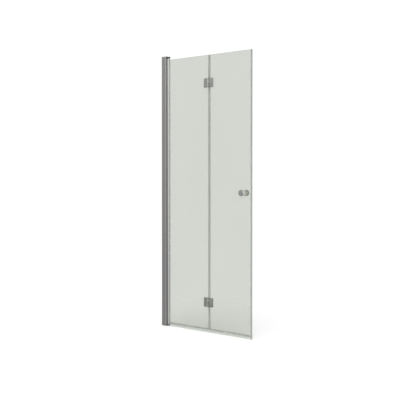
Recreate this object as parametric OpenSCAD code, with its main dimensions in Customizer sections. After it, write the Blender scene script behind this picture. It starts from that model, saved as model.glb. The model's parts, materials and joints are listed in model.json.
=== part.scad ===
// Bifold shower door: two glass leaves that fold on a wall-hung pivot stile.
// X runs from the wall to the free edge, -Y is outside, +Y is inside the shower and Z is up.
// The origin is on the wall, in the middle plane of the glass, at the level of the tray.

/* [Door] */
// Height of the door over its top cap
door_h = 2000; // [1850:1:2100]
// Width of the inner pane
inner_pane_w = 413; // [330:1:460]
// Width of the outer pane
outer_pane_w = 397; // [310:1:404]
// Thickness of both panes
glass_t = 6; // [5:0.5:8]
// Height of the lower glass edge above the tray
glass_lift = 18; // [17:0.5:24]
// Distance from the top of the door down to the upper glass edge
glass_drop = 26; // [22:1:60]
// Gap between the two panes at the fold line
pane_gap = 8; // [7.5:0.5:10]

/* [Wall profile] */
// Width of the wall profile along the wall
wall_w = 36; // [34:0.5:42]
// Depth of the wall profile out from the wall
wall_d = 33; // [26:1:36]
// Thickness of its two flanges
wall_t = 1.6; // [1.2:0.1:2]
// Thickness of its web on the wall
web_t = 2; // [1.8:0.1:3]
// Depth of the two sealant grooves in the back of the web
groove_t = 0.8; // [0.4:0.1:1]
// Radius of the wall-screw holes
wall_hole_r = 2.75; // [2:0.25:3.5]
// Distance from the profile's ends to the first and last wall-screw hole
wall_hole_inset = 99; // [60:1:200]
// Number of wall-screw holes
wall_holes = 4; // [2:1:6]
// Thickness of the top cap
cap_t = 2; // [1.5:0.5:3]
// Radius of the two pegs under the cap
peg_r = 2; // [1.5:0.25:2.5]
// Length of the two pegs under the cap
peg_d = 6; // [4:0.5:7]

/* [Adjusting profile] */
// Distance from the wall to the nose of the adjusting profile
nose_x = 46; // [42:0.5:56]
// Depth of the adjusting profile
adjust_d = 32; // [28:0.5:34]
// Thickness of its flanges
adjust_t = 1.6; // [1.2:0.1:2]
// Thickness of its nose
nose_t = 2; // [1.8:0.1:2.5]
// Gap between the wall profile and the adjusting profile on each side
slide_gap = 0.2; // [0.1:0.05:0.3]
// Outer radius of the two screw ports
port_r = 4.2; // [3.8:0.1:4.4]
// Distance from the wall to the adjusting screws
adjust_screw_x = 22; // [19:0.5:24]
// Distance from the ends of the door to the adjusting screws
adjust_screw_inset = 150; // [100:5:300]

/* [Pivot] */
// Radius of the stile's barrel
stile_r = 10; // [9.5:0.5:12]
// Distance from the pivot axis to the open edge of the glass clamp
clamp_x = 15; // [14:0.5:17]
// Distance from the pivot axis to the open edge of the clamp's inner lip
inner_lip_x = 10; // [9:0.5:11]
// Thickness of the inner lip at its open edge
inner_lip_t = 1.2; // [1:0.1:1.6]
// Distance from the pivot axis to the bottom of the glass slot
slot_x = 6; // [5.5:0.5:7]
// Thickness of the stile's walls
stile_t = 1.6; // [1.4:0.1:2]
// Wall of the glazing channel
channel_t = 1.6; // [1:0.1:2]
// Gap between the adjusting profile's nose and the barrel
nose_gap = 1; // [0.8:0.1:2]
// Radius of the pivot pins
pin_r = 3; // [2.5:0.25:3.25]
// Length of each pin inside its plug
pin_bed = 34; // [20:1:36]
// Wall of the bearing bushes
bush_t = 2.5; // [2:0.25:3]
// Height of the bottom bearing
foot_h = 12; // [10:0.5:12.5]
// Radius of the round end of the bottom bearing
foot_r = 8.5; // [8.5:0.25:10]
// Height of the top bearing's arm
arm_h = 10; // [10:0.5:14]
// Radius of the round end of the top bearing's arm
arm_r = 12; // [11:0.5:13]
// How far the arm stays below the top of the cap
arm_drop = 4; // [2.5:0.5:5]
// Length of the bush in each bearing
bush_h = 8; // [7:0.5:9]
// Thickness of the bush flanges
flange_t = 1; // [0.8:0.1:1.5]
// Thickness of the thrust washer
washer_t = 1; // [0.8:0.1:1.5]
// Depth of the plugs inside the stile
plug_d = 38; // [36.5:0.5:60]
// Thickness of the plugs' end plates
plate_end_t = 2; // [1.5:0.1:2]
// Clearance over the stile for lifting the door off
lift_gap = 1; // [0.5:0.1:1.5]

/* [Hinges] */
// Height of the hinge centres from the lower and upper glass edges
hinge_inset = 198; // [120:1:400]
// Height of a hinge
hinge_h = 65; // [60:1:80]
// Width of one hinge plate
plate_w = 43; // [36:0.5:44]
// Thickness of a hinge plate
plate_t = 8; // [6.5:0.25:8]
// Thickness of the gasket between plate and glass
gasket_t = 1; // [1:0.1:1.2]
// Distance from the plates' front to the fold axis
fold_clear = 1; // [0.75:0.25:1.5]
// Gap between the two plates
plate_gap = 1; // [0.8:0.1:1.5]
// Radius of the knuckles
knuckle_r = 6.5; // [6:0.25:7]
// Height of the middle knuckle
knuckle_h = 36; // [30:1:40]
// Radius of the hinge pin
hinge_pin_r = 3; // [2.5:0.25:3]
// Wall of the hinge bushes
hinge_bush_t = 1.5; // [1:0.1:1.6]
// Distance from a plate's outer edge to its bolts
bolt_inset = 17.5; // [16:0.5:19]
// Distance between the two bolts of a plate
bolt_pitch = 32; // [26:1:36]
// Radius of the hinge bolts
bolt_r = 2.5; // [2:0.25:3]
// Radius of the flush discs at the back of the glass
disc_r = 10; // [9:0.5:11]
// How much narrower the flush discs are at the front of the glass
disc_taper = 2.5; // [1.5:0.25:3]
// Wall of the liners between the discs and the glass
liner_t = 0.6; // [0.4:0.1:1]

/* [Seals] */
// Wall of all clip-on seals
seal_t = 1; // [0.8:0.1:1]
// Grip of the bottom seals on the glass
bottom_grip = 10; // [8:0.5:15]
// Grip of the fold seals on the glass
fold_grip = 4.5; // [4:0.5:8]
// Grip of the edge seal on the glass
edge_grip = 9; // [6:0.5:12]
// Gap between the bottom seals and the tray
wiper_gap = 1; // [0.5:0.25:3]
// Reach of the drip lip behind the bottom seals
lip_reach = 6; // [4:0.5:7]
// Width of the magnet body on the free edge
magnet_w = 8; // [7:0.5:12]
// Thickness of the magnet body on the free edge
magnet_body_t = 10; // [9:0.5:14]
// Length of the soft neck between the glass and the magnet body
neck_l = 1; // [0.5:0.5:4]

/* [Knobs] */
// Distance from the knobs' centre to the free glass edge
knob_inset = 66; // [48:1:94]
// Height of the knobs above the middle of the panes
knob_lift = 2.5; // [-300:0.5:300]
// Radius of the knob heads
knob_r = 21.5; // [21:0.5:24]
// Radius of the groove behind a knob's head
waist_r = 16; // [15.5:0.5:16]
// Radius of the hollow of that groove
hollow_r = 3.5; // [3:0.25:3.5]
// Radius of a knob's body
knob_foot_r = 18.5; // [17.5:0.25:19]
// Length of a knob
knob_l = 30; // [27:0.5:36]
// Height of the rim of the knob heads
rim_h = 8; // [6:0.5:9]
// Radius of the knob stud
stud_r = 3; // [2.5:0.25:4]
// Length of the stud inside each knob
stud_bed = 16; // [12:0.5:18]
// Radius of the knob hole in the glass
knob_hole_r = 5.5; // [5:0.25:6]

/* [Hidden] */
$fn = 48;

// Cuts run past the faces that they open
cut = 1;
// Clearance of parts that push together
fit_gap = 0.1;
// Radial clearance of pins that turn in bushes
run_gap = 0.05;
// Clearance between parts that move past each other
move_gap = 0.3;
// Rounding of the extrusions' outer corners
edge_r = 1;

// Levels
profile_top = door_h - cap_t;
arm_top = door_h - arm_drop;
arm_z = arm_top - arm_h;
stile_z0 = foot_h + flange_t + washer_t + plate_end_t;
stile_z1 = arm_z - flange_t - lift_gap - plate_end_t;
glass_z0 = glass_lift;
glass_z1 = door_h - glass_drop;
seal_z0 = glass_z0 + bottom_grip;
hinge_levels = [glass_z0 + hinge_inset, glass_z1 - hinge_inset];

// Places along the door
adjust_half = wall_w / 2 - wall_t - slide_gap;
adjust_x0 = nose_x - adjust_d;
pivot_x = nose_x + nose_gap + stile_r;
inner_x0 = pivot_x + slot_x + channel_t;
inner_x1 = inner_x0 + inner_pane_w;
fold_x = inner_x1 + pane_gap / 2;
outer_x0 = fold_x + pane_gap / 2;
outer_x1 = outer_x0 + outer_pane_w;
door_reach = outer_x1 + seal_t + neck_l + magnet_w;
knob_x = outer_x1 - knob_inset;
knob_z = (glass_z0 + glass_z1) / 2 + knob_lift;

// Adjusting profile and its bearings
tail_half = adjust_half - adjust_t - fit_gap;
tail_d = 26;
port_bite = 0.5;
port_x = nose_x - nose_t - port_r + port_bite;
port_y = adjust_half - adjust_t - port_r + port_bite;
port_hole_r = 1.9;
port_screw_l = 14;
port_head_r = 3.2;
peg_x = nose_x - tail_d + 6;
peg_y = 8;
seal_box_half = 4;
groove_half = 2.6;
throat_half = 1.4;
lip_t = 1.2;

// Adjusting screws
screw_r = 2;
screw_l = 9;
pan_r = 4;
pan_h = 2.2;

// Stile
slot_half = glass_t / 2 + channel_t;
bush_r = pin_r + bush_t;
bush_flange_r = bush_r + 3;

// Hinges, seen from the fold axis
fold_off = glass_t / 2 + gasket_t + plate_t + fold_clear;
knuckle_cut = knuckle_r + 0.6;
plate_back = fold_clear + plate_t;
plate_x0 = plate_gap / 2;
plate_x1 = plate_x0 + plate_w;
plate_corner = 3;
plate_bevel = 1;
hinge_flange_t = 0.9;
hinge_bush_l = 10;
bolt_x = plate_x1 - bolt_inset;
bolt_d = plate_t - 1;
bolt_head_r = 5;
bolt_head_t = 2.5;
socket_r = 1.6;

// Knobs
knob_washer_t = 1;
knob_edge = 1.5;
dish_d = 0.8;
dish_r = knob_r - 4;
grub_r = 1.5;
grub_d = 5;
grub_l = 8;

// ---- Helpers ----

// Points of an arc about a centre
function arc(centre, r, from, to, steps = 6) =
    [for (i = [0:steps])
        let (a = from + (to - from) * i / steps)
        centre + r * [cos(a), sin(a)]];

// Points of a rectangle with rounded corners
function rounded(x0, x1, y0, y1, r) = concat(
    arc([x1 - r, y1 - r], r, 0, 90),
    arc([x0 + r, y1 - r], r, 90, 180),
    arc([x0 + r, y0 + r], r, 180, 270),
    arc([x1 - r, y0 + r], r, 270, 360));

// A flat shape, drawn on the floor plan, from one level up to another
module upright(z0, z1) {
    translate([0, 0, z0])
        linear_extrude(z1 - z0)
            children();
}

// A flat shape, drawn on the door's cross-section, along X
module lengthwise(x0, x1) {
    translate([x0, 0, 0])
        rotate([90, 0, 90])
            linear_extrude(x1 - x0)
                children();
}

// A flat shape, drawn on the door's front, from y0 to y1
module through(y0, y1) {
    translate([0, y1, 0])
        rotate([90, 0, 0])
            linear_extrude(y1 - y0)
                children();
}

// A round bar or cone along Y
module rod_y(x, z, y0, y1, r0, r1) {
    translate([x, y0, z])
        rotate([-90, 0, 0])
            cylinder(h = y1 - y0, r1 = r0, r2 = r1);
}

// A round bar along Z
module rod_z(x, y, z0, z1, r) {
    translate([x, y, z0])
        cylinder(h = z1 - z0, r = r);
}

// An area from one corner to the other
module area(x0, x1, y0, y1) {
    translate([x0, y0])
        square([x1 - x0, y1 - y0]);
}

// A block from one corner to the other
module block(x0, x1, y0, y1, z0, z1) {
    translate([x0, y0, z0])
        cube([x1 - x0, y1 - y0, z1 - z0]);
}

// ---- Wall side ----

function wall_hole_levels() =
    let (span = profile_top - 2 * wall_hole_inset)
    [for (i = [0:wall_holes - 1]) wall_hole_inset + span * i / (wall_holes - 1)];

function adjust_screw_levels() =
    [adjust_screw_inset, door_h / 2, door_h - adjust_screw_inset];

// U-shaped section with sealant grooves in its back
module wall_section() {
    half = wall_w / 2;
    groove_w = 3;
    groove_y = half - 8;
    difference() {
        polygon(rounded(0, wall_d, -half, half, wall_t / 2));
        area(web_t, wall_d + cut, wall_t - half, half - wall_t);
        for (side = [-1, 1])
            translate([-cut, side * groove_y - groove_w / 2])
                square([cut + groove_t, groove_w]);
    }
}

module wall_profile() {
    half = wall_w / 2;
    color([0.58, 0.58, 0.57])
        difference() {
            upright(0, profile_top) wall_section();
            for (z = wall_hole_levels())
                translate([-cut, 0, z])
                    rotate([0, 90, 0])
                        cylinder(h = web_t + 2 * cut, r = wall_hole_r);
            for (z = adjust_screw_levels())
                rod_y(adjust_screw_x, z, half - wall_t - cut, half + cut,
                    screw_r + move_gap, screw_r + move_gap);
        }
}

// C-shaped section with two screw ports and a groove for the stile seal
module adjusting_section() {
    inner = adjust_half - adjust_t;
    groove_x = nose_x - nose_t - 2;
    difference() {
        union() {
            difference() {
                polygon(rounded(adjust_x0, nose_x, -adjust_half, adjust_half, adjust_t / 2));
                area(adjust_x0 - cut, nose_x - nose_t, -inner, inner);
            }
            for (side = [-1, 1])
                translate([port_x, side * port_y])
                    circle(port_r);
            area(groove_x - adjust_t, nose_x - edge_r, -seal_box_half, seal_box_half);
        }
        for (side = [-1, 1])
            translate([port_x, side * port_y])
                circle(port_hole_r);
        area(groove_x, nose_x - lip_t, -groove_half, groove_half);
        area(groove_x, nose_x + cut, -throat_half, throat_half);
    }
}

module adjusting_profile() {
    color([0.62, 0.62, 0.61])
        difference() {
            upright(foot_h, profile_top) adjusting_section();
            block(adjust_x0 - cut, nose_x + cut, -tail_half - fit_gap, tail_half + fit_gap,
                arm_z, profile_top + cut);
            for (z = adjust_screw_levels())
                rod_y(adjust_screw_x, z, adjust_half - adjust_t - cut, adjust_half + cut,
                    screw_r, screw_r);
        }
}

// Pan-head screw with a cross recess, driven towards -Y
module pan_screw() {
    recess_w = 0.9;
    recess_l = 4.4;
    difference() {
        union() {
            rod_y(0, 0, -screw_l, 0, screw_r, screw_r);
            rotate([-90, 0, 0])
                rotate_extrude()
                    polygon(concat([[0, 0], [pan_r, 0]],
                        arc([pan_r - 1.6, pan_h - 1.6], 1.6, 0, 90), [[0, pan_h]]));
        }
        for (turn = [0, 90])
            rotate([0, turn, 0])
                block(-recess_l / 2, recess_l / 2, pan_h - 1.2, pan_h + cut,
                    -recess_w / 2, recess_w / 2);
    }
}

module adjusting_screws() {
    color([0.75, 0.75, 0.74])
        for (z = adjust_screw_levels())
            translate([adjust_screw_x, wall_w / 2, z])
                pan_screw();
}

// Outline that covers the wall profile and the nose of the adjusting profile
module cap_section() {
    polygon(rounded(0, wall_d, -wall_w / 2, wall_w / 2, wall_t / 2));
    polygon(rounded(wall_d / 2, nose_x, -adjust_half, adjust_half, adjust_t / 2));
}

module wall_profile_cap() {
    color([0.6, 0.6, 0.6]) {
        upright(profile_top, door_h) cap_section();
        for (side = [-1, 1])
            rod_z(peg_x, side * peg_y, profile_top - peg_d, profile_top + cap_t / 2, peg_r);
    }
}

// Everything behind the slope that runs from the barrel down to the inner lip
module behind_slope(inset) {
    reach = inner_lip_x + slot_half + inner_lip_t - inset * sqrt(2);
    far = 3 * stile_r;
    translate([pivot_x + reach, 0])
        rotate(45)
            area(0, far, -far, far);
}

// Outline of the stile: a round barrel that runs into the glass clamp, sloped on the inside
module stile_outline() {
    difference() {
        translate([pivot_x, 0])
            polygon(concat(
                arc([0, 0], stile_r, 90, 270, 24),
                arc([clamp_x - edge_r, edge_r - stile_r], edge_r, 270, 360),
                arc([clamp_x - edge_r, stile_r - edge_r], edge_r, 0, 90)));
        behind_slope(0);
        area(pivot_x + inner_lip_x, pivot_x + clamp_x + cut, 0, stile_r + cut);
    }
}

// Holes for the two countersunk screws of a bearing; up is 1 for heads on top
module port_screws(z, up, l, gap) {
    for (side = [-1, 1])
        translate([port_x, side * port_y, z])
            mirror([0, 0, up > 0 ? 1 : 0]) {
                cylinder(h = l, r = port_hole_r + gap);
                cylinder(h = port_head_r - port_hole_r, r1 = port_head_r, r2 = port_hole_r);
            }
}

module top_bearing() {
    color([0.1, 0.1, 0.1])
        difference() {
            union() {
                block(nose_x - tail_d, nose_x, -tail_half, tail_half, arm_z, profile_top);
                block(nose_x - cut, nose_x + cut, -tail_half, tail_half, arm_z, arm_top);
                rod_z(pivot_x, 0, arm_z, arm_top, arm_r);
                upright(arm_z, arm_top)
                    area(nose_x + fit_gap, pivot_x, -arm_r, arm_r);
            }
            rod_z(pivot_x, 0, arm_z - cut, arm_z + bush_h, bush_r);
            port_screws(profile_top, 1, profile_top - arm_z + cut, fit_gap);
            for (side = [-1, 1])
                rod_z(peg_x, side * peg_y, profile_top - peg_d - fit_gap, profile_top + cut, peg_r);
        }
}

// Two countersunk screws with hex sockets, through a bearing of height h into the ports
module countersunk_pair(z, up, h) {
    socket_d = 1.2;
    difference() {
        port_screws(z, up, h + port_screw_l, 0);
        for (side = [-1, 1])
            translate([port_x, side * port_y, z])
                cylinder(h = 2 * socket_d, r = port_hole_r * 0.8, center = true, $fn = 6);
    }
}

module top_bearing_screws() {
    color([0.7, 0.7, 0.7]) countersunk_pair(profile_top, 1, profile_top - arm_z);
}

module bottom_bearing() {
    x0 = web_t + slide_gap;
    color([0.2, 0.2, 0.2])
        difference() {
            upright(0, foot_h)
                polygon(concat(
                    [[x0, -adjust_half], [nose_x, -adjust_half], [nose_x, -foot_r]],
                    arc([pivot_x, 0], foot_r, -90, 90, 24),
                    [[nose_x, foot_r], [nose_x, adjust_half], [x0, adjust_half]]));
            rod_z(pivot_x, 0, foot_h - bush_h, foot_h + cut, bush_r);
            port_screws(0, -1, foot_h + cut, fit_gap);
        }
}

module bottom_bearing_screws() {
    color([0.7, 0.7, 0.7]) countersunk_pair(0, -1, foot_h);
}

// Flanged bush; z is the level of the flange's seat and up is 1 for a flange on top
module bearing_bush(z, up) {
    translate([pivot_x, 0, z])
        mirror([0, 0, up > 0 ? 0 : 1])
            difference() {
                union() {
                    rod_z(0, 0, -bush_h, flange_t, bush_r);
                    rod_z(0, 0, 0, flange_t, bush_flange_r);
                }
                rod_z(0, 0, -bush_h - cut, flange_t + cut, pin_r + run_gap);
            }
}

module top_bush() {
    color([0.92, 0.92, 0.9]) bearing_bush(arm_z, -1);
}

module bottom_bush() {
    color([0.92, 0.92, 0.9]) bearing_bush(foot_h, 1);
}

module stile_seal() {
    groove_x = nose_x - nose_t - 2;
    color([0.35, 0.36, 0.35])
        upright(foot_h, arm_z) {
            area(groove_x + fit_gap, nose_x - lip_t - fit_gap,
                fit_gap - groove_half, groove_half - fit_gap);
            area(groove_x + fit_gap, nose_x + nose_gap - move_gap,
                fit_gap - throat_half, throat_half - fit_gap);
        }
}

// ---- Inner leaf ----

// The chamber that the plugs fill; gap is their clearance
module chamber_section(gap) {
    r = stile_r - stile_t - gap;
    flat = slot_x - stile_t - gap;
    open = acos(flat / r);
    difference() {
        translate([pivot_x, 0])
            polygon(arc([0, 0], r, open, 360 - open, 24));
        behind_slope(stile_t + gap);
    }
}

module stile_section() {
    pocket = stile_r - slot_half - 2 * stile_t;
    difference() {
        stile_outline();
        chamber_section(0);
        area(pivot_x + slot_x, pivot_x + clamp_x + cut, -slot_half, slot_half);
        polygon(rounded(pivot_x + slot_x, pivot_x + clamp_x - stile_t,
            stile_t - stile_r, -slot_half - stile_t, 0.4 * pocket));
    }
}

module pivot_stile() {
    color([0.66, 0.66, 0.65])
        upright(stile_z0, stile_z1) stile_section();
}

// End plug of the stile; z is the stile's end and up is 1 at the top
module stile_plug(z, up) {
    translate([0, 0, z])
        mirror([0, 0, up > 0 ? 0 : 1])
            difference() {
                union() {
                    upright(0, plate_end_t) stile_outline();
                    upright(-plug_d, cut) chamber_section(fit_gap);
                }
                rod_z(pivot_x, 0, plate_end_t - pin_bed, plate_end_t + cut, pin_r);
            }
}

module top_plug() {
    color([0.3, 0.3, 0.3]) stile_plug(stile_z1, 1);
}

module bottom_plug() {
    color([0.3, 0.3, 0.3]) stile_plug(stile_z0, -1);
}

// Pins stop short of the closed ends of their bearings
module top_pin() {
    color([0.8, 0.8, 0.8])
        rod_z(pivot_x, 0, stile_z1 + plate_end_t - pin_bed, arm_z + bush_h - move_gap, pin_r);
}

module bottom_pin() {
    color([0.8, 0.8, 0.8])
        rod_z(pivot_x, 0, foot_h - bush_h + move_gap, stile_z0 - plate_end_t + pin_bed, pin_r);
}

module thrust_washer() {
    color([0.8, 0.8, 0.8])
        difference() {
            rod_z(pivot_x, 0, foot_h + flange_t, foot_h + flange_t + washer_t, bush_flange_r);
            rod_z(pivot_x, 0, foot_h, stile_z0, pin_r + fit_gap);
        }
}

module glazing_channel() {
    lip = 0.8;
    color([0.8, 0.82, 0.8])
        upright(glass_z0, glass_z1)
            difference() {
                area(pivot_x + slot_x, pivot_x + clamp_x + lip, -slot_half, slot_half);
                area(inner_x0, pivot_x + clamp_x + lip + cut, -glass_t / 2, glass_t / 2);
                area(pivot_x + inner_lip_x + lip, pivot_x + clamp_x + lip + cut, 0, slot_half + cut);
            }
}

// Cones of the flush fixings; side is -1 for the inner leaf, and wider adds to the radius
module disc_cones(side, wider) {
    for (level = hinge_levels, step = [-1, 1])
        rod_y(fold_x + side * bolt_x, level + step * bolt_pitch / 2, -glass_t / 2, glass_t / 2,
            disc_r - disc_taper + wider, disc_r + wider);
}

// Bolts of the flush fixings, with gap added to the shank's radius
module bolt_solids(side, gap) {
    for (level = hinge_levels, step = [-1, 1])
        translate([fold_x + side * bolt_x, 0, level + step * bolt_pitch / 2]) {
            rod_y(0, 0, -glass_t / 2 - gasket_t - bolt_d, glass_t / 2, bolt_r + gap, bolt_r + gap);
            rod_y(0, 0, glass_t / 2 - bolt_head_t, glass_t / 2, bolt_r, bolt_head_r);
        }
}

module inner_glass() {
    color([0.83, 0.84, 0.81, 0.5])
        difference() {
            block(inner_x0, inner_x1, -glass_t / 2, glass_t / 2, glass_z0, glass_z1);
            disc_cones(-1, liner_t);
        }
}

// Hinge plate seen from the fold axis, on the side of the inner leaf
module plate_body() {
    half = hinge_h / 2;
    front = fold_clear;
    intersection() {
        through(front, plate_back)
            polygon(concat(
                [[-plate_x0, -half], [-plate_x0, half]],
                arc([plate_corner - plate_x1, half - plate_corner], plate_corner, 90, 180),
                arc([plate_corner - plate_x1, plate_corner - half], plate_corner, 180, 270)));
        upright(-half, half)
            polygon([[-plate_x0, front], [-plate_x0, plate_back], [-plate_x1, plate_back],
                [-plate_x1, front + plate_bevel], [plate_bevel - plate_x1, front]]);
        lengthwise(-plate_x1 - cut, cut)
            polygon([[plate_back, -half], [plate_back, half], [front + plate_bevel, half],
                [front, half - plate_bevel], [front, plate_bevel - half],
                [front + plate_bevel, -half]]);
    }
}

// Threaded blind holes of a hinge plate
module plate_holes() {
    for (step = [-1, 1])
        rod_y(-bolt_x, step * bolt_pitch / 2, plate_back - bolt_d, plate_back + cut,
            bolt_r, bolt_r);
}

// Level where an end knuckle starts, above the bush flange of the middle knuckle
function end_knuckle_z() = knuckle_h / 2 + hinge_flange_t + move_gap;

// Room that a plate leaves for the other plate's knuckles, open to its back
module knuckle_space(z0, z1) {
    rod_z(0, 0, z0, z1, knuckle_cut);
    block(-knuckle_cut, knuckle_cut, 0, plate_back + cut, z0, z1);
}

// Plate of the inner leaf, with the two end knuckles that hold the pin
module inner_plate() {
    difference() {
        union() {
            difference() {
                plate_body();
                knuckle_space(-end_knuckle_z(), end_knuckle_z());
            }
            for (side = [0, 1])
                mirror([0, 0, side])
                    rod_z(0, 0, end_knuckle_z(), hinge_h / 2, knuckle_r);
        }
        rod_z(0, 0, -hinge_h, hinge_h, hinge_pin_r);
        plate_holes();
    }
}

// Plate of the outer leaf, with the middle knuckle that turns on the bushes
module outer_plate() {
    difference() {
        union() {
            difference() {
                mirror([1, 0, 0]) plate_body();
                for (side = [0, 1])
                    mirror([0, 0, side])
                        knuckle_space(knuckle_h / 2, hinge_h);
            }
            rod_z(0, 0, -knuckle_h / 2, knuckle_h / 2, knuckle_r);
        }
        rod_z(0, 0, -hinge_h, hinge_h, hinge_pin_r + run_gap + hinge_bush_t);
        mirror([1, 0, 0]) plate_holes();
    }
}

module on_fold_axis(level) {
    translate([fold_x, -fold_off, level])
        children();
}

module upper_inner_plate() {
    color([0.62, 0.62, 0.61]) on_fold_axis(hinge_levels[1]) inner_plate();
}

module lower_inner_plate() {
    color([0.55, 0.55, 0.54]) on_fold_axis(hinge_levels[0]) inner_plate();
}

// Gaskets of one leaf, between the plates and the glass, clear of the fold seal
module gasket_pair(side) {
    inset = 1;
    near = pane_gap / 2 + fold_grip + fit_gap;
    for (level = hinge_levels)
        difference() {
            translate([fold_x, 0, level])
                mirror([side > 0 ? 0 : 1, 0, 0])
                    block(near, plate_x1 - inset, -glass_t / 2 - gasket_t, -glass_t / 2,
                        inset - hinge_h / 2, hinge_h / 2 - inset);
            bolt_solids(side, fit_gap);
        }
}

module inner_hinge_gaskets() {
    color([0.2, 0.2, 0.2]) gasket_pair(-1);
}

// Conical liners of one leaf, between the discs and the glass
module liner_set(side) {
    difference() {
        disc_cones(side, liner_t);
        disc_cones(side, 0);
    }
}

module inner_hinge_liners() {
    color([0.9, 0.9, 0.88]) liner_set(-1);
}

// Flush discs of one leaf, with the bolts' seats
module disc_set(side) {
    difference() {
        disc_cones(side, 0);
        bolt_solids(side, 0);
    }
}

module inner_hinge_discs() {
    color([0.72, 0.72, 0.71]) disc_set(-1);
}

// Countersunk bolts of one leaf
module bolt_set(side) {
    socket_d = 1.8;
    difference() {
        bolt_solids(side, 0);
        for (level = hinge_levels, step = [-1, 1])
            translate([fold_x + side * bolt_x, glass_t / 2, level + step * bolt_pitch / 2])
                rotate([90, 0, 0])
                    cylinder(h = 2 * socket_d, r = socket_r, center = true, $fn = 6);
    }
}

module inner_hinge_bolts() {
    color([0.75, 0.75, 0.74]) bolt_set(-1);
}

// Hinge pin, pressed into the end knuckles and set back from their ends
module hinge_pin(level) {
    set_back = 1;
    on_fold_axis(level)
        rod_z(0, 0, set_back - hinge_h / 2, hinge_h / 2 - set_back, hinge_pin_r);
}

module upper_hinge_pin() {
    color([0.8, 0.8, 0.8]) hinge_pin(hinge_levels[1]);
}

module lower_hinge_pin() {
    color([0.8, 0.8, 0.8]) hinge_pin(hinge_levels[0]);
}

// Clip of a seal on a glass edge at x, which opens towards -X
module clip_section(x, grip) {
    outer = glass_t / 2 + seal_t;
    difference() {
        area(x - grip, x + seal_t, -outer, outer);
        area(x - grip - cut, x, -glass_t / 2, glass_t / 2);
    }
}

// Clip with a hollow bulb that the other leaf's fins close round
module inner_fold_seal() {
    bulb_r = (pane_gap / 2 - seal_t / 2 - move_gap) / 2;
    bulb_x = fold_x - move_gap - bulb_r;
    color([0.6, 0.62, 0.6])
        upright(seal_z0, glass_z1)
            difference() {
                union() {
                    clip_section(inner_x1, fold_grip);
                    translate([bulb_x, 0])
                        circle(bulb_r);
                }
                translate([bulb_x, 0])
                    circle(bulb_r / 2);
            }
}

// Clip with a front and a back fin that reach the fold line
module outer_fold_seal() {
    half = glass_t / 2;
    outer = half + seal_t;
    edge = -pane_gap / 2;
    color([0.64, 0.66, 0.64])
        upright(seal_z0, glass_z1)
            translate([fold_x, 0])
                mirror([1, 0])
                    polygon([[edge - fold_grip, -outer], [-move_gap, -outer],
                        [-move_gap, seal_t / 2 - outer], [edge + seal_t, -half],
                        [edge + seal_t, half], [-move_gap, outer - seal_t / 2],
                        [-move_gap, outer], [edge - fold_grip, outer],
                        [edge - fold_grip, half], [edge, half],
                        [edge, -half], [edge - fold_grip, -half]]);
}

// Clip under the glass with a front skirt, a wiper and a drip lip on the inside
module bottom_seal_section() {
    half = glass_t / 2;
    outer = half + seal_t;
    fin = seal_t / 2;
    web_z = glass_z0 - seal_t;
    lip_z = glass_z0 - lip_reach * 1.5;
    polygon([[-half, seal_z0], [-outer, seal_z0], [-outer, wiper_gap], [-half, wiper_gap],
        [-half, web_z], [-fin, web_z], [-fin, wiper_gap], [fin, wiper_gap], [fin, web_z],
        [half, web_z], [outer + lip_reach - seal_t, lip_z], [outer + lip_reach, lip_z],
        [outer, glass_z0], [outer, seal_z0], [half, seal_z0], [half, glass_z0],
        [-half, glass_z0]]);
}

module inner_bottom_seal() {
    color([0.72, 0.74, 0.72])
        lengthwise(pivot_x + clamp_x + channel_t, fold_x - move_gap) bottom_seal_section();
}

// ---- Outer leaf ----

module outer_glass() {
    color([0.83, 0.84, 0.81, 0.5])
        difference() {
            block(outer_x0, outer_x1, -glass_t / 2, glass_t / 2, glass_z0, glass_z1);
            disc_cones(1, liner_t);
            rod_y(knob_x, knob_z, -glass_t, glass_t, knob_hole_r, knob_hole_r);
        }
}

module upper_outer_plate() {
    color([0.62, 0.62, 0.61]) on_fold_axis(hinge_levels[1]) outer_plate();
}

module lower_outer_plate() {
    color([0.55, 0.55, 0.54]) on_fold_axis(hinge_levels[0]) outer_plate();
}

module outer_hinge_gaskets() {
    color([0.2, 0.2, 0.2]) gasket_pair(1);
}

module outer_hinge_liners() {
    color([0.9, 0.9, 0.88]) liner_set(1);
}

module outer_hinge_discs() {
    color([0.72, 0.72, 0.71]) disc_set(1);
}

module outer_hinge_bolts() {
    color([0.75, 0.75, 0.74]) bolt_set(1);
}

// Two flanged bushes in the middle knuckle of a hinge
module hinge_bush_pair(level) {
    flange_r = knuckle_r - 0.5;
    on_fold_axis(level)
        for (side = [0, 1])
            mirror([0, 0, side])
                difference() {
                    union() {
                        rod_z(0, 0, knuckle_h / 2 - hinge_bush_l, knuckle_h / 2 + hinge_flange_t,
                            hinge_pin_r + run_gap + hinge_bush_t);
                        rod_z(0, 0, knuckle_h / 2, knuckle_h / 2 + hinge_flange_t, flange_r);
                    }
                    rod_z(0, 0, 0, hinge_h, hinge_pin_r + run_gap);
                }
}

module upper_hinge_bushes() {
    color([0.9, 0.9, 0.88]) hinge_bush_pair(hinge_levels[1]);
}

module lower_hinge_bushes() {
    color([0.9, 0.9, 0.88]) hinge_bush_pair(hinge_levels[0]);
}

module outer_bottom_seal() {
    color([0.72, 0.74, 0.72])
        lengthwise(fold_x + move_gap, outer_x1) bottom_seal_section();
}

// Clip on the free glass edge, a soft neck and the hollow body for the magnet
module edge_seal() {
    neck_half = 1.2;
    body_x = outer_x1 + seal_t + neck_l;
    color([0.78, 0.8, 0.78]) {
        upright(seal_z0, glass_z1) clip_section(outer_x1, edge_grip);
        upright(wiper_gap, glass_z1) {
            area(outer_x1, outer_x1 + seal_t, -glass_t / 2 - seal_t, glass_t / 2 + seal_t);
            area(outer_x1, body_x + seal_t / 2, -neck_half, neck_half);
            difference() {
                polygon(rounded(body_x, door_reach, -magnet_body_t / 2, magnet_body_t / 2, seal_t));
                magnet_section(0);
            }
        }
    }
}

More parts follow.
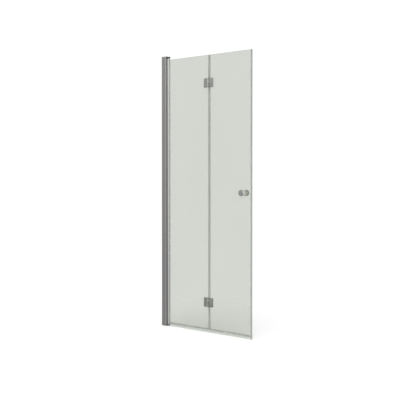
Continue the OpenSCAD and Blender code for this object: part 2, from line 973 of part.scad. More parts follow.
// The space of the magnet inside its body; gap is the magnet's clearance
module magnet_section(gap) {
    wall = 1.2 + gap;
    area(door_reach - magnet_w + wall, door_reach - wall,
        wall - magnet_body_t / 2, magnet_body_t / 2 - wall);
}

module magnet_strip() {
    inset = 2;
    color([0.45, 0.45, 0.45])
        upright(wiper_gap + inset, glass_z1 - inset) magnet_section(fit_gap);
}

// Half outline of a knob: body, groove, and a head with a rim round a shallow dish
function knob_points() =
    let (
        top = knob_l - rim_h - hollow_r,
        bend = acos((waist_r + hollow_r - knob_foot_r) / hollow_r))
    concat(
        [[0, 0], [knob_foot_r, 0]],
        arc([waist_r + hollow_r, top], hollow_r, 180 + bend, 90, 16),
        arc([knob_r - knob_edge, knob_l - rim_h + knob_edge], knob_edge, -90, 0),
        arc([knob_r - knob_edge, knob_l - knob_edge], knob_edge, 0, 90),
        [[dish_r + dish_d, knob_l], [dish_r, knob_l - dish_d], [0, knob_l - dish_d]]);

// A knob in front of the glass, with its stud bore; side is -1 outside and 1 inside
module knob(side, bore_r) {
    foot_y = glass_t / 2 + knob_washer_t;
    translate([knob_x, side * foot_y, knob_z])
        rotate([side > 0 ? -90 : 90, 0, 0])
            difference() {
                rotate_extrude($fn = 64)
                    polygon(knob_points());
                rod_z(0, 0, -cut, stud_bed + cut, bore_r);
            }
}

module front_knob() {
    color([0.66, 0.66, 0.64]) knob(-1, stud_r);
}

module back_knob() {
    color([0.66, 0.66, 0.64])
        difference() {
            knob(1, stud_r + fit_gap);
            rod_z(knob_x, glass_t / 2 + knob_washer_t + grub_d,
                knob_z - knob_foot_r - cut, knob_z, grub_r);
        }
}

module knob_stud() {
    reach = glass_t / 2 + knob_washer_t + stud_bed;
    color([0.75, 0.75, 0.74])
        rod_y(knob_x, knob_z, -reach, reach, stud_r, stud_r);
}

module knob_sleeve() {
    color([0.9, 0.9, 0.88])
        difference() {
            rod_y(knob_x, knob_z, -glass_t / 2, glass_t / 2, knob_hole_r, knob_hole_r);
            rod_y(knob_x, knob_z, -glass_t, glass_t, stud_r + fit_gap, stud_r + fit_gap);
        }
}

module knob_washers() {
    r = knob_foot_r - 0.5;
    color([0.9, 0.9, 0.88])
        for (side = [0, 1])
            mirror([0, side, 0])
                difference() {
                    rod_y(knob_x, knob_z, glass_t / 2, glass_t / 2 + knob_washer_t, r, r);
                    rod_y(knob_x, knob_z, 0, glass_t, stud_r + fit_gap, stud_r + fit_gap);
                }
}

module knob_grub_screw() {
    socket_d = 2;
    y = glass_t / 2 + knob_washer_t + grub_d;
    z0 = knob_z - stud_r - grub_l;
    color([0.6, 0.6, 0.6])
        difference() {
            rod_z(knob_x, y, z0, knob_z - stud_r, grub_r);
            translate([knob_x, y, z0])
                cylinder(h = 2 * socket_d, r = 0.8, center = true, $fn = 6);
        }
}

// ---- Assembly ----

wall_profile();
adjusting_profile();
adjusting_screws();
wall_profile_cap();
top_bearing();
top_bearing_screws();
bottom_bearing();
bottom_bearing_screws();
top_bush();
bottom_bush();
stile_seal();
pivot_stile();
top_plug();
bottom_plug();
top_pin();
bottom_pin();
thrust_washer();
glazing_channel();
inner_glass();
upper_inner_plate();
lower_inner_plate();
inner_hinge_gaskets();
inner_hinge_liners();
inner_hinge_discs();
inner_hinge_bolts();
upper_hinge_pin();
lower_hinge_pin();
inner_fold_seal();
inner_bottom_seal();
outer_glass();
upper_outer_plate();
lower_outer_plate();
outer_hinge_gaskets();
outer_hinge_liners();
outer_hinge_discs();
outer_hinge_bolts();
upper_hinge_bushes();
lower_hinge_bushes();
outer_fold_seal();
outer_bottom_seal();
edge_seal();
magnet_strip();
front_knob();
back_knob();
knob_stud();
knob_sleeve();
knob_washers();
knob_grub_screw();
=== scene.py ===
"""Dresses the bifold shower door: finishes for every piece, softened edges, stage and camera.

The door stands in metres with its wall face on x = 0, the glass in the plane y = 0 and the
tray at z = 0. -Y is outside, where the viewer stands.
"""

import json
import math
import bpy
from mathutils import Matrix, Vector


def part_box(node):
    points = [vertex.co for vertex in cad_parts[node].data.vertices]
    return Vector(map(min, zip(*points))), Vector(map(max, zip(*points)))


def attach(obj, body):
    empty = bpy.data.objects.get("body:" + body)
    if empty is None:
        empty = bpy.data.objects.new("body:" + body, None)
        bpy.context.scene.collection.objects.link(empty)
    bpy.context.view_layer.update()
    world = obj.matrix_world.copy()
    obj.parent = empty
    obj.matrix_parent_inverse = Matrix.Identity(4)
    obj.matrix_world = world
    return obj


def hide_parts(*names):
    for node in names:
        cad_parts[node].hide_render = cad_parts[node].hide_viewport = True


bl_info = {
    "name": "Bifold Shower Door",
    "version": (1, 0, 0),
    "blender": (4, 5, 0),
    "location": "View3D > Sidebar > Shower Door",
    "description": "Finishes, softened edges, stage and camera for a bifold shower door",
    "category": "Object",
}

import bmesh
import bpy
from bpy.props import FloatProperty, FloatVectorProperty, IntProperty, PointerProperty
from mathutils import Vector

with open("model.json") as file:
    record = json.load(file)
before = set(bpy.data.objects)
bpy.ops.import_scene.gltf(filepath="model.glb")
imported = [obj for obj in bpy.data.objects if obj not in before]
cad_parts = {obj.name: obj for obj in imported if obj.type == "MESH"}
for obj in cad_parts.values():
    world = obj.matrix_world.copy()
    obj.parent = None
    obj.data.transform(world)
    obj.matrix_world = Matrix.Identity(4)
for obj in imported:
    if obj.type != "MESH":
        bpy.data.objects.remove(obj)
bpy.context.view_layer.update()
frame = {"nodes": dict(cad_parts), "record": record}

MM = 0.001

# How a CAD mesh is made ready for rounded edges
WELD = 0.005 * MM  # corners as close as this are one
FLAT_ANGLE = math.radians(1)  # faces that turn less than this are one face
ROUNDED_ANGLE = math.radians(32)  # edges that turn more than this are rounded
CREASE_ANGLE = math.radians(40)  # edges that turn more than this still show as edges

KNOB_HEAD = 13 * MM  # from the front knob's face to the start of the painted highlight on its body
HIGHLIGHT_END = -2 * MM  # where that painted highlight ends along Y, inside the pane

REFRACTION = 1.5  # of glass and of soft vinyl

# Which pieces share a finish
PLUGS = ("top_plug", "bottom_plug")
BEARING_PIECES = (
    "top_bush", "bottom_bush", "upper_hinge_bushes", "lower_hinge_bushes",
    "inner_hinge_liners", "outer_hinge_liners", "knob_sleeve", "knob_washers",
)
SCREWS = (
    "adjusting_screws", "top_bearing_screws", "bottom_bearing_screws",
    "inner_hinge_bolts", "outer_hinge_bolts", "knob_stud", "knob_grub_screw",
)
PINS = ("top_pin", "bottom_pin", "thrust_washer", "upper_hinge_pin", "lower_hinge_pin")
PANES = ("inner_glass", "outer_glass")
HINGE_PLATES = (
    "upper_inner_plate", "lower_inner_plate", "upper_outer_plate", "lower_outer_plate",
)
HINGE_DISCS = ("inner_hinge_discs", "outer_hinge_discs")
GASKETS = ("inner_hinge_gaskets", "outer_hinge_gaskets", "stile_seal")
FOLD_SEALS = ("inner_fold_seal", "outer_fold_seal")
BOTTOM_SEALS = ("inner_bottom_seal", "outer_bottom_seal")
KNOBS = ("front_knob", "back_knob")


def grey(value, warmth=0.0):
    """A neutral colour, a little warmer or cooler."""
    return (value * (1 + warmth), value, value * (1 - warmth))


def scaled(colour, by):
    """A colour made lighter or darker."""
    return tuple(c * by for c in colour)


class DoorFinishes(bpy.types.PropertyGroup):
    """Colours and surface qualities of the door's finishes."""

    wall_colour: FloatVectorProperty(
        name="Wall Profile Colour", description="Satin anodised wall profile",
        subtype="COLOR", size=3, min=0, max=1, default=grey(0.255, 0.01))
    nose_colour: FloatVectorProperty(
        name="Nose Colour", description="Satin anodised adjusting profile",
        subtype="COLOR", size=3, min=0, max=1, default=grey(0.345, 0.01))
    stile_colour: FloatVectorProperty(
        name="Stile Colour", description="Brighter anodised pivot stile",
        subtype="COLOR", size=3, min=0, max=1, default=grey(0.55, 0.01))
    line_width: FloatProperty(
        name="Drawing Lines", description="Width of the lines that extruding leaves",
        subtype="DISTANCE", unit="LENGTH", min=0.0001, max=0.01, default=0.0012)
    cap_colour: FloatVectorProperty(
        name="Cap Colour", description="Moulded cap of the wall profile",
        subtype="COLOR", size=3, min=0, max=1, default=grey(0.34))
    arm_colour: FloatVectorProperty(
        name="Arm Colour", description="Top bearing's arm and the stile's plugs",
        subtype="COLOR", size=3, min=0, max=1, default=grey(0.022))
    foot_colour: FloatVectorProperty(
        name="Foot Colour", description="Bottom bearing's foot",
        subtype="COLOR", size=3, min=0, max=1, default=grey(0.09))
    bush_colour: FloatVectorProperty(
        name="Bush Colour", description="Bushes, liners, sleeve and washers",
        subtype="COLOR", size=3, min=0, max=1, default=(0.78, 0.78, 0.74))
    pin_colour: FloatVectorProperty(
        name="Pin Colour", description="Ground steel pins and thrust washer",
        subtype="COLOR", size=3, min=0, max=1, default=grey(0.6))
    screw_colour: FloatVectorProperty(
        name="Screw Colour", description="Screws, bolts and the knobs' stud",
        subtype="COLOR", size=3, min=0, max=1, default=grey(0.55))
    hinge_colour: FloatVectorProperty(
        name="Hinge Colour", description="Plated hinge plates",
        subtype="COLOR", size=3, min=0, max=1, default=(0.296, 0.300, 0.284))
    knob_colour: FloatVectorProperty(
        name="Knob Colour", description="Plated and turned knobs",
        subtype="COLOR", size=3, min=0, max=1, default=(0.312, 0.317, 0.304))
    # Painted highlight: how much lighter the front knob's body colour is painted
    highlight_gain: FloatProperty(
        name="Knob Body Gain", description="How much lighter the front knob's polished body is",
        min=0.5, max=3, default=2.85)
    gasket_colour: FloatVectorProperty(
        name="Gasket Colour", description="Rubber behind the hinges and in the profile's nose",
        subtype="COLOR", size=3, min=0, max=1, default=grey(0.05))
    magnet_colour: FloatVectorProperty(
        name="Magnet Colour", description="Magnet strip inside the edge seal",
        subtype="COLOR", size=3, min=0, max=1, default=grey(0.12))
    glass_tint: FloatVectorProperty(
        name="Glass Tint", description="Colour that the panes add to what shows through them",
        subtype="COLOR", size=3, min=0, max=1, default=(0.277, 0.305, 0.238))
    glass_cover: FloatProperty(
        name="Glass Cover", description="Share of the light that each face of a pane holds back",
        subtype="FACTOR", min=0, max=1, default=0.335)
    rim_tint: FloatVectorProperty(
        name="Rim Tint", description="Greener colour of the panes' ground edges",
        subtype="COLOR", size=3, min=0, max=1, default=(0.26, 0.38, 0.30))
    rim_cover: FloatProperty(
        name="Rim Cover", description="Share of the light that the ground edges hold back",
        subtype="FACTOR", min=0, max=1, default=0.72)
    glass_arris: FloatProperty(
        name="Glass Arris", description="Width of the ground arris on the panes' edges",
        subtype="DISTANCE", unit="LENGTH", min=0.0001, max=0.001, default=0.0005)
    vinyl_colour: FloatVectorProperty(
        name="Vinyl Colour", description="Translucent seals",
        subtype="COLOR", size=3, min=0, max=1, default=(0.36, 0.38, 0.35))
    channel_colour: FloatVectorProperty(
        name="Channel Colour", description="Milky vinyl channel round the glass in the stile",
        subtype="COLOR", size=3, min=0, max=1, default=grey(0.85))
    edge_round: FloatProperty(
        name="Edge Rounding", description="Rounding of cast and moulded edges",
        subtype="DISTANCE", unit="LENGTH", min=0.0001, max=0.001, default=0.0004)
    edge_steps: IntProperty(
        name="Edge Steps", description="Faces across each rounded edge", min=1, max=6, default=3)


class DoorStage(bpy.types.PropertyGroup):
    """Camera, floor and light."""

    eye_height: FloatProperty(
        name="Eye Height", description="Height of the camera over the tray",
        subtype="DISTANCE", unit="LENGTH", default=1.1158)
    camera_x: FloatProperty(
        name="Camera X", description="Distance of the camera from the wall plane",
        subtype="DISTANCE", unit="LENGTH", default=5.1489)
    camera_y: FloatProperty(
        name="Camera Y", description="Place of the camera in front of the glass",
        subtype="DISTANCE", unit="LENGTH", default=-4.6666)
    camera_turn: FloatProperty(
        name="Camera Turn", description="Turn of the camera from looking straight at the glass",
        subtype="ANGLE", unit="ROTATION", default=math.radians(45.11))
    camera_tilt: FloatProperty(
        name="Camera Tilt", description="How far the camera looks down",
        subtype="ANGLE", unit="ROTATION", default=math.radians(1.213))
    focal_length: FloatProperty(
        name="Focal Length", description="Focal length in millimetres",
        subtype="DISTANCE_CAMERA", unit="CAMERA", default=80.62)
    sensor_width: FloatProperty(
        name="Sensor Width", description="Width of the sensor in millimetres",
        subtype="DISTANCE_CAMERA", unit="CAMERA", default=36)
    rise: FloatProperty(
        name="Vertical Shift", description="Vertical shift of the lens", default=-0.0287)
    view_distance: FloatProperty(
        name="View Distance", description="How far the camera sees",
        subtype="DISTANCE", unit="LENGTH", default=100)
    floor_colour: FloatVectorProperty(
        name="Floor Colour", description="Plain pale floor",
        subtype="COLOR", size=3, min=0, max=1, default=grey(0.86))
    floor_size: FloatProperty(
        name="Floor Size", description="Side of the square floor",
        subtype="DISTANCE", unit="LENGTH", default=2.4)
    floor_glow: FloatProperty(
        name="Floor Glow", description="Light that the floor gives off, as a light table does",
        min=0, default=0.16)
    key_strength: FloatProperty(
        name="Key Strength", description="Strength of the soft light from above the viewer",
        min=0, default=0.6)
    key_spread: FloatProperty(
        name="Key Spread", description="How wide that light looks from the door",
        subtype="ANGLE", unit="ROTATION", default=math.radians(50))
    key_direction: FloatVectorProperty(
        name="Key Direction", description="Way that the light shines",
        subtype="DIRECTION", size=3, default=(-0.45, 0.6, -1))
    surround: FloatProperty(
        name="Surround", description="Brightness of the studio round the door",
        min=0, default=1.0)
    backdrop: FloatProperty(
        name="Backdrop", description="Brightness of the studio straight behind the door",
        min=0, default=1.05)


def fill(tree, socket, value):
    """Links a socket to an amount or to another socket, or else sets its value."""
    if isinstance(value, Amount):
        value = value.socket
    if isinstance(value, bpy.types.NodeSocket):
        tree.links.new(value, socket)
    elif socket.type == "RGBA":
        socket.default_value = (*value, 1)
    else:
        socket.default_value = value


class Amount:
    """A number that changes over a surface; sums on it add Math nodes."""

    def __init__(self, tree, socket):
        self.tree = tree
        self.socket = socket

    def _with(self, operation, *values):
        node = self.tree.nodes.new("ShaderNodeMath")
        node.operation = operation
        for socket, value in zip(node.inputs, values):
            fill(self.tree, socket, value)
        return Amount(self.tree, node.outputs["Value"])

    def __add__(self, other):
        return self._with("ADD", self, other)

    def __radd__(self, other):
        return self._with("ADD", other, self)

    def __sub__(self, other):
        return self._with("SUBTRACT", self, other)

    def __rsub__(self, other):
        return self._with("SUBTRACT", other, self)

    def __mul__(self, other):
        return self._with("MULTIPLY", self, other)

    def __rmul__(self, other):
        return self._with("MULTIPLY", other, self)

    def __abs__(self):
        return self._with("ABSOLUTE", self)


def swing(pattern, by):
    """How far a pattern from 0 to 1 swings to both sides of its middle."""
    return (pattern - 0.5) * by


def even(size):
    """Sizes along X, Y and Z of a pattern with round patches."""
    return (size, size, size)


def drawn_out(width, length, along="Z"):
    """Sizes along X, Y and Z of a pattern with patches drawn out along one of them."""
    return tuple(length if axis == along else width for axis in "XYZ")


class Finish:
    """The nodes that make a material, or the studio."""

    def __init__(self, owner):
        self.owner = owner
        owner.use_nodes = True
        self.tree = owner.node_tree
        self.tree.nodes.clear()
        self._coordinates = None

    def add(self, kind, settings=None, values=None):
        """Adds a node of a kind, sets it up, and fills or links its sockets."""
        node = self.tree.nodes.new(kind)
        for name, value in (settings or {}).items():
            setattr(node, name, value)
        sockets = {socket.identifier: socket for socket in node.inputs}
        for name, value in (values or {}).items():
            fill(self.tree, sockets[name], value)
        return node

    def amount(self, socket):
        """A socket's value, ready for sums."""
        return Amount(self.tree, socket)

    def coordinates(self, source):
        """Where a place lies on the piece, or which way its surface faces."""
        if self._coordinates is None:
            self._coordinates = self.add("ShaderNodeTexCoord")
        return self._coordinates.outputs[source]

    def axis(self, name, source="Object"):
        """X, Y or Z of the place on the piece, or of the way that its surface faces."""
        split = self.add("ShaderNodeSeparateXYZ", None, {"Vector": self.coordinates(source)})
        return self.amount(split.outputs[name])

    def noise(self, sizes, detail, roughness=0.5):
        """Soft uneven pattern, from 0 to 1, with the size of its patches along X, Y and Z."""
        place = self.add(
            "ShaderNodeMapping", {"vector_type": "POINT"},
            {"Vector": self.coordinates("Object"), "Scale": [1 / size for size in sizes]})
        node = self.add(
            "ShaderNodeTexNoise", {"noise_dimensions": "3D"},
            {"Vector": place.outputs["Vector"], "Scale": 1.0,
             "Detail": detail, "Roughness": roughness})
        return self.amount(node.outputs["Fac"])

    def within(self, value, low, high, to_low=0.0, to_high=1.0):
        """Carries a number smoothly from one range to another."""
        node = self.add(
            "ShaderNodeMapRange", {"interpolation_type": "SMOOTHSTEP", "clamp": True},
            {"Value": value, "From Min": low, "From Max": high,
             "To Min": to_low, "To Max": to_high})
        return self.amount(node.outputs["Result"])

    def blend(self, share, first, second):
        """Colour between two colours."""
        node = self.add(
            "ShaderNodeMix", {"data_type": "RGBA", "clamp_factor": True},
            {"Factor_Float": share, "A_Color": first, "B_Color": second})
        return next(socket for socket in node.outputs if socket.identifier == "Result_Color")

    def mottled(self, pattern, colour, first, second, low=0.3, high=0.7):
        """A colour that a pattern carries from one share of its lightness to another."""
        return self.blend(
            self.within(pattern, low, high), scaled(colour, first), scaled(colour, second))

    def relief(self, pattern, strength, height):
        """Normal that a shallow relief gives the surface."""
        node = self.add("ShaderNodeBump", None,
                        {"Strength": strength, "Distance": height, "Height": pattern})
        return node.outputs["Normal"]

    def shader(self, values):
        """The material's own shader, from the values or links of its sockets."""
        shader = self.add("ShaderNodeBsdfPrincipled", None, values)
        self.output(shader.outputs["BSDF"])

    def output(self, socket, kind="ShaderNodeOutputMaterial"):
        """Sends a shader to the output node."""
        self.add(kind, None, {"Surface": socket})


def new_finish(name):
    """The nodes of a new material."""
    return Finish(bpy.data.materials.new(name))


def drawn_metal(name, colour, line_width, roughness=0.3):
    """Satin anodised extrusion with fine lines along its length and a few faint scuffs."""
    f = new_finish(name)
    lines = f.noise(drawn_out(line_width, 900 * MM), 3)
    fine = f.noise(drawn_out(line_width / 5, 250 * MM), 2)
    cloud = f.noise(drawn_out(30 * MM, 350 * MM), 2)
    scuff = f.within(f.noise(drawn_out(2 * MM, 20 * MM), 4, 0.65), 0.66, 0.74)
    base = f.mottled(lines * 0.6 + cloud * 0.4, colour, 0.93, 1.07, 0.25, 0.75)
    f.shader({
        "Base Color": f.blend(scuff * 0.35, base, scaled(colour, 1.25)),
        "Metallic": 1.0,
        "Roughness": roughness + swing(lines, 0.10) + swing(fine, 0.08) + cloud * 0.05,
        "Normal": f.relief(lines * 0.7 + fine * 0.3, 0.25, 0.03 * MM),
    })
    return f.owner


def plated_metal(name, colour, roughness, highlight_band=None):
    """Plated casting: smooth, with a faint orange peel and polishing swirls.

    The fourth argument gives the two places along Y between which the piece's colour is painted
    lighter as a highlight, and how much lighter that is.
    """
    f = new_finish(name)
    peel = f.noise(even(1.2 * MM), 1)
    swirl = f.noise(drawn_out(0.3 * MM, 6 * MM), 3)
    cloud = f.noise(even(12 * MM), 2)
    base = f.mottled(cloud, colour, 0.94, 1.05)
    # Painted highlight: the colour is made lighter in a band along Y
    if highlight_band:
        low, high, gain = highlight_band
        y = f.axis("Y")
        painted_highlight = f.within(y, low, low + MM) * f.within(y, high - MM, high, 1.0, 0.0)
        base = f.blend(painted_highlight, base, scaled(colour, gain))
    f.shader({
        "Base Color": base,
        "Metallic": 1.0,
        "Roughness": roughness + swing(swirl, 0.09) + swing(cloud, 0.06),
        "Normal": f.relief(peel, 0.12, 0.03 * MM),
    })
    return f.owner


def moulded_plastic(name, colour, roughness=0.5):
    """Moulded plastic with a fine spark-eroded grain."""
    f = new_finish(name)
    grain = f.noise(even(0.5 * MM), 2)
    cloud = f.noise(even(15 * MM), 2)
    f.shader({
        "Base Color": f.mottled(cloud, colour, 0.9, 1.1),
        "Roughness": roughness + swing(grain, 0.15) + swing(cloud, 0.08),
        "Normal": f.relief(grain, 0.35, 0.06 * MM),
    })
    return f.owner


def steel(name, colour, roughness=0.3):
    """Bright turned steel with fine tool marks and a few duller stains."""
    f = new_finish(name)
    turned = f.noise(even(0.35 * MM), 3)
    stain = f.noise(even(4 * MM), 3)
    f.shader({
        "Base Color": f.mottled(stain, colour, 1.0, 0.85, 0.35, 0.7),
        "Metallic": 1.0,
        "Roughness": roughness + swing(turned, 0.15) + stain * 0.05,
        "Normal": f.relief(turned, 0.2, 0.03 * MM),
    })
    return f.owner


def pane_glass(name, s):
    """Clear toughened glass: a faint grey-green tint, deeper green in its ground edges."""
    f = new_finish(name)
    facing = abs(f.axis("Y", "Normal"))
    rim = f.within(facing, 0.2, 0.9, 1.0, 0.0)
    wave = f.noise((250 * MM, 1000 * MM, 400 * MM), 1)
    ground = f.noise(even(0.6 * MM), 2)
    f.shader({
        "Base Color": f.blend(rim, s.glass_tint, s.rim_tint),
        "Roughness": 0.02 + rim * (0.18 + ground * 0.12),
        "IOR": REFRACTION,
        "Alpha": s.glass_cover + swing(wave, 0.01) + rim * (s.rim_cover - s.glass_cover),
        "Normal": f.relief(wave, 0.03, 0.5 * MM),
    })
    return f.owner


def soft_vinyl(name, colour, cover, along="Z", clearer=None):
    """Translucent soft vinyl with fine lines along the seal and a milky unevenness.

    clearer names an axis, the two places between which the vinyl turns milky, and the colour
    and the cover that it has before them.
    """
    f = new_finish(name)
    milk = f.noise(drawn_out(6 * MM, 120 * MM, along), 2)
    lines = f.noise(drawn_out(0.6 * MM, 500 * MM, along), 2)
    base = f.mottled(milk, colour, 0.93, 1.06)
    if clearer:
        axis, low, high, clear_colour, clear_cover = clearer
        milky = f.within(f.axis(axis), low, high)
        base = f.blend(milky, clear_colour, base)
        cover = clear_cover + milky * (cover - clear_cover)
    f.shader({
        "Base Color": base,
        "Roughness": 0.28 + swing(lines, 0.12) + swing(milk, 0.1),
        "IOR": REFRACTION,
        "Alpha": cover + swing(milk, 0.08),
        "Normal": f.relief(lines, 0.3, 0.05 * MM),
    })
    return f.owner


def dull_rubber(name, colour):
    """Matt rubber with a dusty bloom."""
    f = new_finish(name)
    bloom = f.noise(drawn_out(8 * MM, 30 * MM), 3)
    grain = f.noise(even(0.4 * MM), 1)
    f.shader({
        "Base Color": f.mottled(bloom, colour, 1.0, 1.35, 0.4, 0.75),
        "Roughness": 0.7 + swing(grain, 0.15),
        "Normal": f.relief(grain, 0.3, 0.05 * MM),
    })
    return f.owner


def dress(nodes, material):
    """Gives CAD pieces their finish."""
    for name in nodes:
        for slot in frame["nodes"][name].material_slots:
            slot.material = material


def body_of(node):
    """The body that a piece moves with."""
    for body, members in frame["record"]["behaviour"]["bodies"].items():
        if node in members:
            return body
    raise RuntimeError(f"no body holds {node}")


def placed(name, data):
    """A new object in the scene."""
    piece = bpy.data.objects.new(name, data)
    bpy.context.scene.collection.objects.link(piece)
    return piece


def placed_mesh(name, mesh, material):
    """A new piece in the scene, from a finished bmesh."""
    data = bpy.data.meshes.new(name)
    mesh.to_mesh(data)
    mesh.free()
    data.materials.append(material)
    return placed(name, data)


def aim(piece, direction):
    """Turns a lamp or a camera to look along a direction."""
    piece.rotation_euler = Vector(direction).to_track_quat("-Z", "Y").to_euler()


def soften(node, material, width, steps):
    """Makes a copy of a CAD piece with its sharp edges rounded, which stands for it."""
    mesh = bmesh.new()
    mesh.from_mesh(frame["nodes"][node].data)
    bmesh.ops.remove_doubles(mesh, verts=mesh.verts, dist=WELD)
    bmesh.ops.dissolve_limit(
        mesh, angle_limit=FLAT_ANGLE, use_dissolve_boundaries=False,
        verts=mesh.verts, edges=mesh.edges, delimit={"NORMAL"})
    sharp = [edge for edge in mesh.edges
             if len(edge.link_faces) == 2 and edge.calc_face_angle(0) > ROUNDED_ANGLE]
    bmesh.ops.bevel(
        mesh, geom=sharp, offset=width, offset_type="OFFSET", affect="EDGES",
        segments=steps, profile=0.5, material=-1, clamp_overlap=True)
    bmesh.ops.recalc_face_normals(mesh, faces=mesh.faces)
    for face in mesh.faces:
        face.smooth = True
    for edge in mesh.edges:
        edge.smooth = edge.calc_face_angle(0) < CREASE_ANGLE
    piece = placed_mesh(node + "_softened", mesh, material)
    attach(piece, body_of(node))
    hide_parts(node)


class DressProfiles(bpy.types.Operator):
    """Finishes the wall profile, the adjusting profile and the pivot stile"""

    bl_idname = "shower_door.dress_profiles"
    bl_label = "Dress Profiles"

    def execute(self, context):
        s = context.scene.shower_door_finishes
        dress(["wall_profile"], drawn_metal("wall_aluminium", s.wall_colour, s.line_width))
        dress(["adjusting_profile"], drawn_metal("nose_aluminium", s.nose_colour, s.line_width))
        dress(["pivot_stile"], drawn_metal(
            "bright_aluminium", s.stile_colour, s.line_width, roughness=0.24))
        return {"FINISHED"}


class DressBearings(bpy.types.Operator):
    """Finishes the cap, the bearings, the plugs, the bushes and the pins"""

    bl_idname = "shower_door.dress_bearings"
    bl_label = "Dress Bearings"

    def execute(self, context):
        s = context.scene.shower_door_finishes
        arm_plastic = moulded_plastic("black_moulding", s.arm_colour)
        foot_plastic = moulded_plastic("dark_moulding", s.foot_colour, roughness=0.45)
        cap_plastic = moulded_plastic("silver_moulding", s.cap_colour, roughness=0.42)
        soften("wall_profile_cap", cap_plastic, s.edge_round, s.edge_steps)
        soften("top_bearing", arm_plastic, s.edge_round, s.edge_steps)
        soften("bottom_bearing", foot_plastic, s.edge_round, s.edge_steps)
        dress(PLUGS, arm_plastic)
        dress(BEARING_PIECES, moulded_plastic("bearing_plastic", s.bush_colour, roughness=0.38))
        dress(PINS, steel("ground_steel", s.pin_colour, roughness=0.22))
        return {"FINISHED"}


class DressScrews(bpy.types.Operator):
    """Finishes the screws, the bolts and the knobs' stud"""

    bl_idname = "shower_door.dress_screws"
    bl_label = "Dress Screws"

    def execute(self, context):
        s = context.scene.shower_door_finishes
        dress(SCREWS, steel("screw_steel", s.screw_colour))
        return {"FINISHED"}


class DressGlass(bpy.types.Operator):
    """Finishes the two panes and grinds an arris on their edges"""

    bl_idname = "shower_door.dress_glass"
    bl_label = "Dress Glass"

    def execute(self, context):
        s = context.scene.shower_door_finishes
        glass = pane_glass("clear_glass", s)
        for node in PANES:
            soften(node, glass, s.glass_arris, steps=1)
        return {"FINISHED"}


class DressHinges(bpy.types.Operator):
    """Softens and finishes the hinge plates, and finishes their flush discs and gaskets"""

    bl_idname = "shower_door.dress_hinges"
    bl_label = "Dress Hinges"

    def execute(self, context):
        s = context.scene.shower_door_finishes
        plating = plated_metal("hinge_plating", s.hinge_colour, roughness=0.24)
        for node in HINGE_PLATES:
            soften(node, plating, s.edge_round, s.edge_steps)
        dress(HINGE_DISCS, plating)
        dress(GASKETS, dull_rubber("gasket_rubber", s.gasket_colour))
        return {"FINISHED"}


class DressSeals(bpy.types.Operator):
    """Finishes the clip-on seals, the glazing channel and the magnet"""

    bl_idname = "shower_door.dress_seals"
    bl_label = "Dress Seals"

    def execute(self, context):
        s = context.scene.shower_door_finishes
        colour = s.vinyl_colour
        glass_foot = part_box("outer_glass")[0].z
        glass_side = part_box("outer_glass")[1].x
        dress(FOLD_SEALS, soft_vinyl("fold_seal_vinyl", scaled(colour, 1.27), cover=0.56))
        # The skirt below the glass is clearer than the clip on it
        dress(BOTTOM_SEALS, soft_vinyl(
            "bottom_seal_vinyl", scaled(colour, 1.15), cover=0.5, along="X",
            clearer=("Z", glass_foot - MM, glass_foot, scaled(colour, 1.5), 0.28)))
        # The clip's legs on the glass are almost clear
        dress(["edge_seal"], soft_vinyl(
            "edge_seal_vinyl", scaled(colour, 1.15), cover=0.6,
            clearer=("X", glass_side, glass_side + 1.5 * MM, grey(0.8), 0.08)))
        # The lip behind the glass is milkier than the one in front
        dress(["glazing_channel"], soft_vinyl(
            "channel_vinyl", s.channel_colour, cover=0.92,
            clearer=("Y", 0, 2 * MM, scaled(colour, 0.8), 0.8)))
        dress(["magnet_strip"], dull_rubber("magnet_rubber", s.magnet_colour))
        return {"FINISHED"}


class DressKnobs(bpy.types.Operator):
    """Finishes the two knobs, with a painted highlight on the front knob's body"""

    bl_idname = "shower_door.dress_knobs"
    bl_label = "Dress Knobs"

    def execute(self, context):
        s = context.scene.shower_door_finishes
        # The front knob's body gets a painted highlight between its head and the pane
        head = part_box("front_knob")[0].y + KNOB_HEAD
        dress(KNOBS, plated_metal(
            "knob_plating", s.knob_colour, roughness=0.22,
            highlight_band=(head, HIGHLIGHT_END, s.highlight_gain)))
        return {"FINISHED"}


def lay_floor(s):
    """A plain pale floor that shiny pieces don't mirror."""
    f = new_finish("pale_floor")
    f.shader({
        "Base Color": s.floor_colour,
        "Roughness": 0.9,
        "Specular IOR Level": 0.1,
        "Emission Color": grey(1.0),
        "Emission Strength": s.floor_glow,
    })
    mesh = bmesh.new()
    bmesh.ops.create_grid(mesh, x_segments=1, y_segments=1, size=s.floor_size / 2)
    floor = placed_mesh("floor", mesh, f.owner)
    floor.visible_glossy = False


def light_studio(scene, s):
    """White behind the door, and a softly shaded studio for the finishes to mirror."""
    scene.world = bpy.data.worlds.new("studio")
    scene.view_settings.view_transform = "Standard"
    f = Finish(scene.world)
    x, y, z = (f.axis(name, "Generated") for name in "XYZ")
    # A shade dimmer on the free edge's side
    across = f.within(x + y, -1.4, 1.4, 1.0, 0.98)
    # Brightest above the horizon, dim overhead and just below it, lighter again low down
    height = (f.within(z, -0.4, 0.4, 0.64, 1.2) * f.within(z, 0.3, 0.6, 1.0, 0.55)
              * f.within(z, -0.6, -0.3, 1.5, 1.0))
    # Dim where the wall is
    wall_side = f.within(y * 0.3 - x * 0.95, 0.5, 1.0, 1.0, 0.45)
    # A broad soft light behind the camera, from the horizon up
    soft_box = (f.within(x * 0.7 - y * 0.7 + z * 0.12, 0.2, 1.0, 0.0, 1.25)
                * f.within(z, -0.1, 0.1, 0.2, 1.0))
    round_door = (across * height * wall_side + soft_box) * s.surround
    seen = f.amount(f.add("ShaderNodeLightPath").outputs["Is Camera Ray"])
    background = f.add("ShaderNodeBackground", None, {
        "Color": grey(1.0),
        "Strength": round_door * (1 - seen) + seen * s.backdrop,
    })
    f.output(background.outputs["Background"], "ShaderNodeOutputWorld")
    key = bpy.data.lights.new("key_light", "SUN")
    key.energy = s.key_strength
    key.angle = s.key_spread
    aim(placed("key_light", key), s.key_direction)


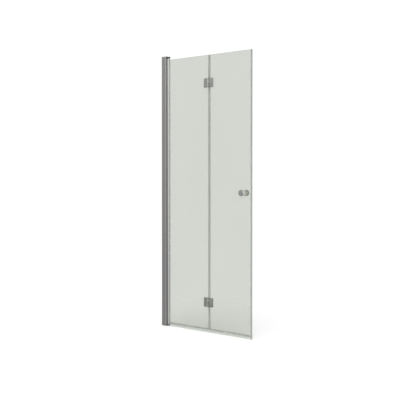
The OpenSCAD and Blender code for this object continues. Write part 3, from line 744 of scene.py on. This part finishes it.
def point_camera(scene, s):
    """The photograph's point of view."""
    lens = bpy.data.cameras.new("camera")
    lens.lens = s.focal_length
    lens.sensor_width = s.sensor_width
    lens.shift_y = s.rise
    lens.clip_end = s.view_distance
    camera = placed("camera", lens)
    camera.location = (s.camera_x, s.camera_y, s.eye_height)
    level = math.cos(s.camera_tilt)
    aim(camera, (-math.sin(s.camera_turn) * level, math.cos(s.camera_turn) * level,
                 -math.sin(s.camera_tilt)))
    scene.camera = camera


class SetStage(bpy.types.Operator):
    """Sets the floor, the studio round the door, the light and the camera"""

    bl_idname = "shower_door.set_stage"
    bl_label = "Set Stage"

    def execute(self, context):
        s = context.scene.shower_door_stage
        lay_floor(s)
        light_studio(context.scene, s)
        point_camera(context.scene, s)
        return {"FINISHED"}


class ShowerDoorPanel(bpy.types.Panel):
    """Lists the steps that dress the door, and what can be changed in them"""

    bl_idname = "VIEW3D_PT_shower_door"
    bl_label = "Bifold Shower Door"
    bl_space_type = "VIEW_3D"
    bl_region_type = "UI"
    bl_category = "Shower Door"

    def draw(self, context):
        for step in STEPS:
            self.layout.operator(step.bl_idname)
        for group in (context.scene.shower_door_finishes, context.scene.shower_door_stage):
            box = self.layout.box()
            for name in group.__annotations__:
                box.prop(group, name)


STEPS = (
    SetStage, DressProfiles, DressBearings, DressScrews, DressGlass, DressHinges,
    DressSeals, DressKnobs,
)
CLASSES = (DoorFinishes, DoorStage, *STEPS, ShowerDoorPanel)


def register():
    for each in CLASSES:
        bpy.utils.register_class(each)
    bpy.types.Scene.shower_door_finishes = PointerProperty(type=DoorFinishes)
    bpy.types.Scene.shower_door_stage = PointerProperty(type=DoorStage)


def unregister():
    del bpy.types.Scene.shower_door_stage
    del bpy.types.Scene.shower_door_finishes
    for each in reversed(CLASSES):
        bpy.utils.unregister_class(each)


def main():
    """Dresses the door step by step."""
    register()
    for step in STEPS:
        group, name = step.bl_idname.split(".")
        getattr(getattr(bpy.ops, group), name)()


if __name__ == "__main__":
    main()
